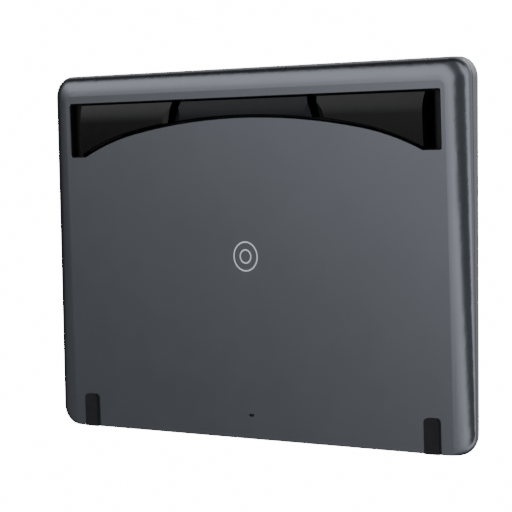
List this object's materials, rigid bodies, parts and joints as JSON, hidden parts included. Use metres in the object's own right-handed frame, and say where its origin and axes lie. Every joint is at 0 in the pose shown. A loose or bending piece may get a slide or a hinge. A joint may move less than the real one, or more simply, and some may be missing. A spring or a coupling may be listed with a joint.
{
  "type": "pen display tablet",
  "caption": "Slim wedge pen drawing tablet with a glass screen, a soft-edged rear cover and a stand of two fold-out legs in an arched recess.",
  "frame": {"origin": "under the middle of the outline, on the surface that the rubber feet stand on, with the tablet lying face up", "axes": "+X right and +Y up as the user sees the screen, +Z out of the screen"},
  "size_m": [0.4004, 0.2904, 0.0231],
  "materials": {
    "cover_paint": "fine matte slate grey paint",
    "frame_metal": "satin dark grey, bright cut chamfer",
    "wrist_plastic": "fine matte",
    "screen_glass": "etched dark glass",
    "gasket_rubber": "black",
    "panel_glass": "dark panel glass",
    "diffuser": "translucent white",
    "board": "green solder resist",
    "stamped_steel": "stamped",
    "chip_plastic": "moulded black",
    "spreader": "plain sheet",
    "socket_metal": "drawn shell",
    "ribbon": "amber film",
    "tray_plastic": "black, fine texture",
    "bridge_plastic": "satin blue black",
    "leg_plastic": "satin dark grey",
    "rubber_tip": "matte",
    "pin_steel": "ground",
    "rubber_foot": "matte",
    "screw_steel": "black oxide"
  },
  "bodies": {
    "body": {"board_screws": "screw_steel", "centre_bridge": "bridge_plastic", "cover_glass": "screen_glass", "digitizer_board": "board", "digitizer_ribbon": "ribbon", "display_ribbon": "ribbon", "foot_strip_left": "rubber_foot", "foot_strip_right": "rubber_foot", "frame_screws": "screw_steel", "front_frame": "frame_metal", "glass_gasket": "gasket_rubber", "heat_spreader": "spreader", "hinge_pin_left": "pin_steel", "hinge_pin_right": "pin_steel", "hinge_washers": "pin_steel", "lcd_panel": "panel_glass", "led_strip": "board", "light_guide": "diffuser", "main_board": "board", "panel_brackets": "stamped_steel", "panel_chassis": "stamped_steel", "port_board": "board", "port_ribbon": "ribbon", "power_switch": "chip_plastic", "processor_chips": "chip_plastic", "rear_cover": "cover_paint", "shield_plate": "stamped_steel", "slot_plug": "tray_plastic", "stand_tray": "tray_plastic", "status_light": "diffuser", "timing_board": "board", "tray_screws": "screw_steel", "usb_sockets": "socket_metal", "wrist_rest": "wrist_plastic"},
    "left_leg": {"leg_left": "leg_plastic", "leg_tip_left": "rubber_tip"},
    "right_leg": {"leg_right": "leg_plastic", "leg_tip_right": "rubber_tip"},
    "button": {"power_button": "frame_metal"}
  },
  "joints": [
    {"name": "left_leg_fold", "type": "hinge", "parent": "body", "child": "left_leg", "pos_m": [-0.12, 0.1155, 0.0062], "axis": [1, 0, 0], "range_deg": [0, 95]},
    {"name": "right_leg_fold", "type": "hinge", "parent": "body", "child": "right_leg", "pos_m": [0.12, 0.1155, 0.0062], "axis": [1, 0, 0], "range_deg": [0, 95]},
    {"name": "power_button_press", "type": "slide", "parent": "body", "child": "button", "axis": [0, -1, 0], "range_m": [0, 0.0005], "stiffness_N_per_m": 900}
  ]
}
